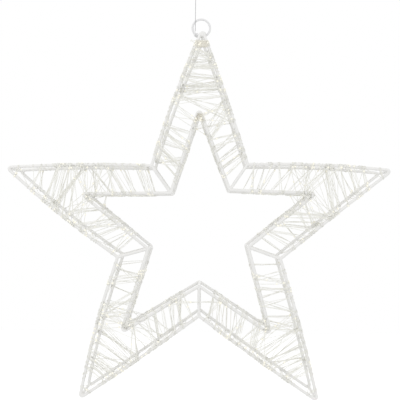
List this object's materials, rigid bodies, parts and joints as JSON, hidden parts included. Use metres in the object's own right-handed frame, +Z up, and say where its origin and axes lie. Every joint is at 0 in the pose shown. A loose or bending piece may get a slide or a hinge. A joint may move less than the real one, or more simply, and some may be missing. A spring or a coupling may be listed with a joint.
{
  "type": "led christmas star",
  "caption": "Open five-pointed star of white bent rod, front and back outlines joined by cross rods, wound with fine light wire and hung by a ring on a thread.",
  "frame": {"origin": "inside top of the thread's loop, where the loop bears on its hook", "axes": "+X to the right as seen from the front, +Y to the back, +Z up along the thread"},
  "size_m": [0.5813, 0.0888, 0.6281],
  "materials": {
    "white_rod": "white powder coat, satin",
    "light_wire": "lacquered silvery wire",
    "light_drop": "clear warm resin, lit",
    "thread": "twisted pale nylon thread"
  },
  "bodies": {
    "thread": {"thread_loop": "thread", "loop_knot": "thread", "hanging_thread": "thread"},
    "ring": {"hanging_ring": "white_rod", "ring_knot": "thread"},
    "star": {"front_outer_outline": "white_rod", "back_outer_outline": "white_rod", "front_inner_outline": "white_rod", "back_inner_outline": "white_rod", "top_tip_spacer": "white_rod", "right_tip_spacer": "white_rod", "lower_right_tip_spacer": "white_rod", "lower_left_tip_spacer": "white_rod", "left_tip_spacer": "white_rod", "top_inner_tip_spacer": "white_rod", "right_inner_tip_spacer": "white_rod", "lower_right_inner_tip_spacer": "white_rod", "lower_left_inner_tip_spacer": "white_rod", "left_inner_tip_spacer": "white_rod", "upper_right_valley_spacer": "white_rod", "right_side_valley_spacer": "white_rod", "bottom_valley_spacer": "white_rod", "left_side_valley_spacer": "white_rod", "upper_left_valley_spacer": "white_rod", "upper_right_inner_valley_spacer": "white_rod", "right_side_inner_valley_spacer": "white_rod", "bottom_inner_valley_spacer": "white_rod", "left_side_inner_valley_spacer": "white_rod", "upper_left_inner_valley_spacer": "white_rod", "upper_right_front_strut": "white_rod", "upper_right_back_strut": "white_rod", "right_side_front_strut": "white_rod", "right_side_back_strut": "white_rod", "bottom_front_strut": "white_rod", "bottom_back_strut": "white_rod", "left_side_front_strut": "white_rod", "left_side_back_strut": "white_rod", "upper_left_front_strut": "white_rod", "upper_left_back_strut": "white_rod", "top_tip_winding": "light_wire", "right_tip_winding": "light_wire", "lower_right_tip_winding": "light_wire", "lower_left_tip_winding": "light_wire", "left_tip_winding": "light_wire", "top_left_limb_winding": "light_wire", "top_right_limb_winding": "light_wire", "right_left_limb_winding": "light_wire", "right_right_limb_winding": "light_wire", "lower_right_left_limb_winding": "light_wire", "lower_right_right_limb_winding": "light_wire", "lower_left_left_limb_winding": "light_wire", "lower_left_right_limb_winding": "light_wire", "left_left_limb_winding": "light_wire", "left_right_limb_winding": "light_wire", "top_light_drops": "light_drop", "right_light_drops": "light_drop", "lower_right_light_drops": "light_drop", "lower_left_light_drops": "light_drop", "left_light_drops": "light_drop"}
  },
  "joints": [
    {"name": "ring_turn", "type": "hinge", "parent": "thread", "child": "ring", "pos_m": [0, 0, -0.06765], "axis": [0, 0, 1], "continuous": true},
    {"name": "star_swing", "type": "hinge", "parent": "ring", "child": "star", "pos_m": [0.0106, 0.0024, -0.07204], "axis": [0, 1, 0], "range_deg": [-45, 45]}
  ]
}
